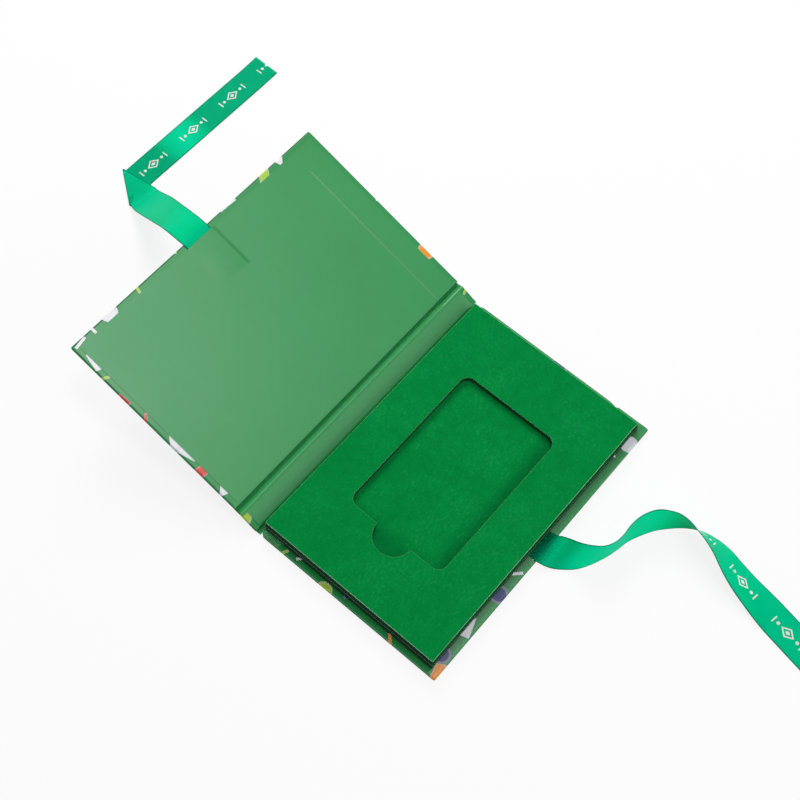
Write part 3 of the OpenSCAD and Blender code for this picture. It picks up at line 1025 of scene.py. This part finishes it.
section = [base_point(*p) for p in ((2.7, 0), (1.6, 0), (0.8, 0), (0.3, 0), (0.0, 0.01))]
section += [spine_point(0.25, 0), spine_point(0.5, 0)]
base_fold = strip("Base_fold_wrap", section, HALF_L - 0.3, WRAP, False)
bend(base_fold, "printed_paper", "base_fold_wrap", "base", "spine", *SPINE, 0.35)

# %% The fold between spine and lid
end_run = SPINE_W - SPINE_GAP
on_spine = ((-1.5, LAP_TOP), (-0.5, LAP_TOP), (-0.1, 2.36), (0.2, 2.16))
on_lid = (
    (0.2, 1.8), (0.7, 1.4), (1.2, 1.12), (1.7, 0.92), (2.1, 0.82), (2.4, 0.9),
    (2.5, 1.2), (2.5, 2.12), (2.6, 2.34), (2.85, LAP_TOP), (4.2, LAP_TOP),
)
section = [spine_point(end_run + run, height) for run, height in on_spine]
section += [lid_point(*p) for p in on_lid]
lid_groove = strip("Lid_groove_lining", section, HALF_L - 0.3, LINING, True)
lift_ends(lid_groove, *SPINE, lambda p: p.x > LID_FOLD.x)
lift_ends(lid_groove, *LID, lambda p: p.x < LID_FOLD.x - 1)
# Painted shade in the groove's valley.
paint_light_and_shade(lid_groove, in_valley)
press(lid_groove, lambda m: -2.75 < m.x - LID_FOLD.x < 1.2 and height_over(m, *LID) < LAP_TOP - 0.05)
lid_bend = (SPINE_SLOPE + LID_SLOPE) / 2
bend(lid_groove, "lining_paper", "lid_fold_lining", "spine", "lid", LID_FOLD, lid_bend, 1.6)

section = [spine_point(end_run + run, 0) for run in (0, 0.3)] + [lid_point(run, 0) for run in (0, 0.5, 1.5, 2.7)]
lid_fold = strip("Lid_fold_wrap", section, HALF_L - 0.1, WRAP, False, -1.4)
bend(lid_fold, "printed_paper", "lid_fold_wrap", "spine", "lid", LID_FOLD, lid_bend, 0.35)

# %% [markdown]
# ## The insert
#
# Two layers of foam lie on each other, and each has flocked paper on its face. The
# lower pair is cut a little larger, so its paper shows as a pale seam round the sides.
# The upper pair has the window for the card, with a round notch for the thumb.
# The window is punched: one cutter, a block with rounded corners joined to a
# round bar, is taken out of both sheets with a Boolean.

# %% The window's cutter
INSERT_X, INSERT_END, INSERT_HALF_L = -52.4, 47.6, 76.75
LOWER_TOP, WELL_FLOOR, UPPER_TOP, INSERT_TOP = 5.4, 5.65, 8.65, 8.9
FOAM_WIDER, SEAM_WIDER = 0.6, 0.7
WINDOW = (-3.4, 27.5, 43.3)
WINDOW_ROUND, NOTCH_RADIUS, SHOULDER_ROUND = 5.0, 10.0, 1.4


def punch(piece, cutter, operation="DIFFERENCE"):
    """Takes out a cutter, or joins it, and merges points left double and level faces left in pieces."""
    apply(piece, "BOOLEAN", operation=operation, object=cutter, solver="EXACT")
    bpy.data.objects.remove(cutter)
    edit(piece)
    bpy.ops.mesh.remove_doubles(threshold=0.002 * MM)
    bpy.ops.mesh.dissolve_limited(angle_limit=math.radians(0.5))
    clear()


def window_cutter(name, low, high, inset=0.0):
    """The window's outline with its thumb notch, as a solid to cut or to add."""
    middle, half_x, half_y = WINDOW
    wide, long = half_x - inset, half_y - inset
    piece = block(name, (middle - wide, -long, low), (middle + wide, long, high))
    round_off(piece, lambda m, d: abs(d.z) > 0.9, WINDOW_ROUND - inset, 12)
    clear()
    bpy.ops.mesh.primitive_cylinder_add(
        vertices=96, radius=(NOTCH_RADIUS - inset) * MM, depth=(high - low) * MM,
        location=Vector((middle, -half_y, (low + high) / 2)) * MM,
    )
    bar = fix(bpy.context.object)
    punch(piece, bar, "UNION")
    shoulder = Vector((NOTCH_RADIUS, -half_y))

    def at_shoulder(m, d):
        return abs(d.z) > 0.9 and (Vector((abs(m.x - middle), m.y)) - shoulder).length < 0.5

    round_off(piece, at_shoulder, SHOULDER_ROUND, 6)
    clear()
    return piece


def by_window(m):
    """Whether a place lies in or close round the window and its notch."""
    return abs(m.x - WINDOW[0]) < WINDOW[1] + 1 and abs(m.y) < WINDOW[2] + NOTCH_RADIUS + 1


def soften(piece, offset, segments=2):
    """Rounds every sharp edge a little."""
    edit(piece, "DESELECT")
    bpy.context.tool_settings.mesh_select_mode = (False, True, False)
    bpy.ops.mesh.edges_select_sharp(sharpness=math.radians(45))
    bpy.ops.mesh.bevel(offset=offset * MM, segments=segments, affect="EDGES")
    clear()


def insert_sheet(name, low, high, wider=0.0):
    """A layer of the insert, wider than the top one at the three outer sides."""
    return block(name, (INSERT_X, -INSERT_HALF_L - wider, low), (INSERT_END + wider, INSERT_HALF_L + wider, high))


# %% Foam layers
FLAP_END, TAIL_ROOM_L, TAIL_ROOM_Y = -40.5, 26.05, 8.05
lower_foam = insert_sheet("Lower_foam", TURN_TOP, LOWER_TOP, FOAM_WIDER)
below, flap_y, foot_y = TURN_TOP - 1, HALF_L - MARGIN, HALF_L - TURN_IN
punch(lower_foam, block("Flap_room", (INSERT_X - 1, -flap_y, below), (FLAP_END, flap_y, LINING_TOP)))
tail_room = block("Tail_room", (FORE_X - TAIL_ROOM_L, -TAIL_ROOM_Y, below), (FORE_X, TAIL_ROOM_Y, TURN_TOP + 0.3))
punch(lower_foam, tail_room)
foot = block("Foot", (FLAP_END, -foot_y, BOARD_TOP), (FORE_X - TURN_IN, foot_y, TURN_TOP + 1))
punch(lower_foam, foot, "UNION")
coat(lower_foam, FOAM)
soften(lower_foam, 0.12)
complete(lower_foam, "base", "insert_lower_foam")

upper_foam = insert_sheet("Upper_foam", WELL_FLOOR, UPPER_TOP)
punch(upper_foam, window_cutter("Window_cut", WELL_FLOOR - 1, UPPER_TOP + 1))
coat(upper_foam, FOAM, DUSTED_FOAM)
for face in upper_foam.data.polygons:
    face.material_index = 1 if by_window(face.center / MM) else 0
soften(upper_foam, 0.12)
complete(upper_foam, "base", "insert_upper_foam")

# %% [markdown]
# Flocked paper is two things: pale paper, which shows as a thin line along every
# cut, and the green pile on it. The faces on top and their rounded rim are given
# the pile, and the rest keeps the paper.

# %% Flocked papers
def flocked(piece, paper, pile, pile_from):
    """Pile on what faces up and on all above a height; paper at the cut sides and on the seam."""
    coat(piece, paper, pile)
    for face in piece.data.polygons:
        m = face.center / MM
        on_seam = abs(m.y) > INSERT_HALF_L or m.x > INSERT_END
        rim = by_window(m) and face.normal.z > 0.3
        if (face.normal.z > 0.8 or m.z > pile_from or rim) and not on_seam:
            face.material_index = 1


well_flock = insert_sheet("Well_flock", LOWER_TOP, WELL_FLOOR, SEAM_WIDER)
cut(well_flock, x=[INSERT_END - 0.1], y=both(INSERT_HALF_L - 0.1))
punch(well_flock, window_cutter("Well_pile", LOWER_TOP, WELL_FLOOR + 0.05, 0.3), "UNION")
soften(well_flock, 0.03)
flocked(well_flock, SEAM_PAPER, WELL_PILE, WELL_FLOOR)
complete(well_flock, "base", "well_flock")

top_flock = insert_sheet("Top_flock", UPPER_TOP, INSERT_TOP)
punch(top_flock, window_cutter("Window_cut", UPPER_TOP - 1, INSERT_TOP + 1))
soften(top_flock, 0.2, 1)
flocked(top_flock, WORN_PILE, FLOCK, INSERT_TOP)
complete(top_flock, "base", "top_flock")

# %% [markdown]
# ## The ribbons
#
# A ribbon is a sheet of cloth, 16 mm wide and 200 or 222 mm long, glued down by a
# 26 mm tail. Its path is a row of stations: the middle of the ribbon and the way
# across it. A smooth curve runs through them, and rows of points a millimetre
# apart are set along it, so that the weave has the same size everywhere.

# %% Stations of the two ribbons
LID_EDGE = lid_point(FOLD_GAP + COVER_W, TURN_TOP)
TAIL_H = TURN_TOP + 0.15

base_route = [
    (0.3, 0.2, 3.1, -0.1, 1, 0.06), (4.8, 1.2, 4.5, -0.18, 0.9, 0.4), (9, 2.8, 5.8, -0.25, 0.67, 0.7),
    (13.8, 5.3, 7.3, -0.31, 0.38, 0.87), (18, 8.9, 8.4, -0.22, 0.14, 0.97), (21.3, 13.1, 8.2, -0.07, 0.05, 1),
    (23.5, 17.9, 8.2, -0.02, 0.03, 1), (24.6, 23.1, 8.2, -0.05, 0.03, 1), (25, 28.5, 8.1, -0.13, 0.06, 0.99),
    (26.2, 33.7, 8, -0.22, 0.1, 0.97), (28.2, 38.6, 7.9, -0.26, 0.14, 0.96), (31, 43.1, 7.9, -0.24, 0.16, 0.96),
    (35, 46.6, 8.1, -0.17, 0.1, 0.98), (39.6, 49.3, 8.5, -0.08, -0.04, 1), (44.7, 50.7, 8.8, 0, -0.26, 0.97),
    (50, 51.1, 8.9, 0.02, -0.48, 0.88), (55.4, 50.9, 8.6, 0.02, -0.62, 0.78), (60.7, 50.2, 7.9, -0.01, -0.74, 0.67),
    (65.8, 49.1, 6.6, -0.06, -0.83, 0.55), (70.7, 47.8, 5.2, -0.09, -0.88, 0.46), (75.8, 46.6, 3.9, -0.11, -0.92, 0.38),
    (81, 45.5, 2.9, -0.12, -0.94, 0.3), (86.2, 44.6, 2, -0.13, -0.96, 0.21), (91.5, 43.7, 1.2, -0.14, -0.98, 0.11),
    (96.7, 42.8, 0.6, -0.16, -0.99, 0.04), (104, 41.4, 0.3, -0.18, -0.98, 0), (142, 34.1, 0.3, -0.19, -0.98, 0),
]
lid_hang = [
    (4.3, 0, 1.015, 0, 1, 0.02), (11.3, 1, 0.963, 0, 1, 0), (21, 3.3, 0.825, -0.12, 0.99, 0.04),
    (31.6, 6.3, 0.628, 0, 0.98, 0.18), (43.3, 10, 0.372, 0.1, 0.96, 0.22), (53, 13.4, 0.15, 0.08, 0.98, 0.18),
    (59.5, 15.6, 0.045, 0, 1, 0.02),
]
lid_turn = [(69.4, 14.7, 1.7, -1.1, 0.8, 0.05), (69.8, 14.3, 1, -1.1, 0.8, 0.03), (69.4, 14.7, 0.3, -1.1, 0.8, 0)]
lid_run = [
    (70, 24.6, 0.3, -1, 0, 0), (70, 48, 0.3, -1, 0.01, 0), (69.9, 86, 0.4, -1, 0.01, 0),
    (69.8, 110, 0.6, -1, 0.01, 0), (69.8, 122, 1, -1, 0.02, 0),
]

base_stations = [(26.5, 0, TAIL_H, 0, 1, 0), (40, 0, TAIL_H, 0, 1, 0), (47.6, 0, TAIL_H, 0, 1, 0)]
base_stations += [(FORE_X + s[0], *s[1:]) for s in base_route]


def lid_tail(run):
    at = lid_point(FOLD_GAP + COVER_W - run, TAIL_H)
    return (at.x, 0, at.z, 0, 1, 0)


def beyond_lid(stations, height=1.0):
    return [(LID_EDGE.x - s[0], s[1], s[2] * height, *s[3:]) for s in stations]


# %% Rows along a ribbon
ACROSS, ROW_STEP, CURVE_STEPS, RIBBON_THICK = 16, 1.0, 24, 0.3


def curve_through(stations):
    """Points of a Catmull-Rom curve through the stations."""
    points, last = [], len(stations) - 1
    rows = [Vector(s) for s in stations]
    for i in range(last):
        a, b, c, d = rows[max(i - 1, 0)], rows[i], rows[i + 1], rows[min(i + 2, last)]
        bow, swing = 2 * a - 5 * b + 4 * c - d, 3 * (b - c) + d - a
        for k in range(CURVE_STEPS):
            t = k / CURVE_STEPS
            points.append((2 * b + (c - a) * t + bow * t**2 + swing * t**3) / 2)
    return points + [rows[last]]


def even_rows(points):
    """Points a row's step apart, with their distance along the curve."""
    runs = [0.0]
    for a, b in zip(points, points[1:]):
        runs.append(runs[-1] + (Vector(b[:3]) - Vector(a[:3])).length)
    count = max(2, round(runs[-1] / ROW_STEP))
    rows, i = [], 0
    for k in range(count + 1):
        want = runs[-1] * k / count
        while i < len(runs) - 2 and runs[i + 1] < want:
            i += 1
        share = (want - runs[i]) / max(runs[i + 1] - runs[i], 1e-9)
        rows.append((points[i].lerp(points[i + 1], min(share, 1.0)), want))
    return rows


def lay_rows(stretches):
    """Rows of points across the ribbon, with the place of each point on the flat ribbon."""
    grid, done = [], 0.0
    for stretch in stretches:
        rows = even_rows(curve_through(stretch))
        for number, (point, run) in enumerate(rows):
            if grid and number == 0:
                continue
            before, after = rows[max(number - 1, 0)][0], rows[min(number + 1, len(rows) - 1)][0]
            travel = (Vector(after[:3]) - Vector(before[:3])).normalized()
            side = Vector(point[3:])
            slant = ramp(side.length, 1.0, 1.36)
            wide = side.normalized() * (1 + (math.sqrt(2) - 1) * slant) * RIBBON_W / MM / 2
            middle = Vector(point[:3])
            row = []
            for k in range(ACROSS + 1):
                share = 2 * k / ACROSS - 1
                flat = (RIBBON_W * k / ACROSS, (done + run + share * wide.dot(travel)) * MM)
                row.append((middle + share * wide, flat))
            grid.append(row)
        done += rows[-1][1]
    return grid, done


def weave_ribbon(name, stretches, top, underside, painted_light_of):
    grid, length = lay_rows(stretches)
    points = [at * MM for row in grid for at, flat in row]
    flats = [flat for row in grid for at, flat in row]
    wide = ACROSS + 1
    corners = [r * wide + k for r in range(len(grid) - 1) for k in range(ACROSS)]
    faces = [(c, c + 1, c + wide + 1, c + wide) for c in corners]
    mesh = bpy.data.meshes.new(name)
    mesh.from_pydata(points, [], faces)
    layer = mesh.uv_layers.new(name="Sheet")
    for loop in mesh.loops:
        layer.data[loop.index].uv = flats[loop.vertex_index]
    piece = bpy.data.objects.new(name, mesh)
    bpy.context.collection.objects.link(piece)
    coat(piece, top, underside, SELVAGE)
    paint_light_and_shade(piece, painted_light_of)
    apply(piece, "SOLIDIFY", thickness=RIBBON_THICK * MM, offset=0.0, material_offset=1, material_offset_rim=2)
    take(piece)
    bpy.ops.object.shade_smooth_by_angle(angle=math.radians(50))
    print(f"{name}: {length:.0f} mm long, {len(grid)} rows")
    return piece, length


# %% Lay the base ribbon
# How strong the painted highlight and painted shade on the base ribbon are.
STANDING_PAINTED_HIGHLIGHT, TURNING_PAINTED_SHADE, LAID_SLOPE = 1.25, 0.2, 0.0206


def painted_satin_light(p):
    """Painted shade where it leaves the insert, a painted highlight where it stands up, and painted shade where it
    turns over.
    """
    dark = ramp(p.x - INSERT_END, 9.5, 2.5)
    bright = ramp(p.x, 60, 66) * ramp(p.x, 96, 86)
    shaded = ramp(p.x, 88, 96) * ramp(p.x, 118, 110)
    return dark - STANDING_PAINTED_HIGHLIGHT * bright + TURNING_PAINTED_SHADE * shaded


base_ribbon, length = weave_ribbon("Base_ribbon", [base_stations], PRINTED_SATIN, SATIN, painted_satin_light)
belong(base_ribbon, "base", "base_ribbon")
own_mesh(base_ribbon)

# %% [markdown]
# The lid ribbon hangs from the lid to the table, is folded under itself on the
# slant, and runs on beside the lid. The crease is a tight half turn about a line
# that lies at 45 degrees to the ribbon.

# %% Lay the lid ribbon
# Painted shade on the lid ribbon, and one painted highlight where it lies.
HANGING_PAINTED_SHADE, LYING_PAINTED_SHADE, GLEAM, GLEAM_Y = 0.12, 0.42, 1.1, 57
hanging = [lid_tail(26), lid_tail(3), lid_tail(0)] + beyond_lid(lid_hang, LID_EDGE.z)
turn = beyond_lid(lid_turn)
running = beyond_lid(lid_run)


def gleam(p):
    """Painted shade where the lid's ribbon hangs and where it lies, but for one painted highlight."""
    if p.x > LID_EDGE.x - 55 or p.z > 1.5:
        return HANGING_PAINTED_SHADE * ramp(LID_EDGE.x - p.x, 12, 22)
    return LYING_PAINTED_SHADE - GLEAM * ramp(abs(p.y - GLEAM_Y), 15, 0)


stretches = [hanging + turn[:1], turn, turn[-1:] + running]
lid_ribbon, length = weave_ribbon("Lid_ribbon", stretches, SATIN, PRINTED_SATIN, gleam)
belong(lid_ribbon, "lid", "lid_ribbon")
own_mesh(lid_ribbon)
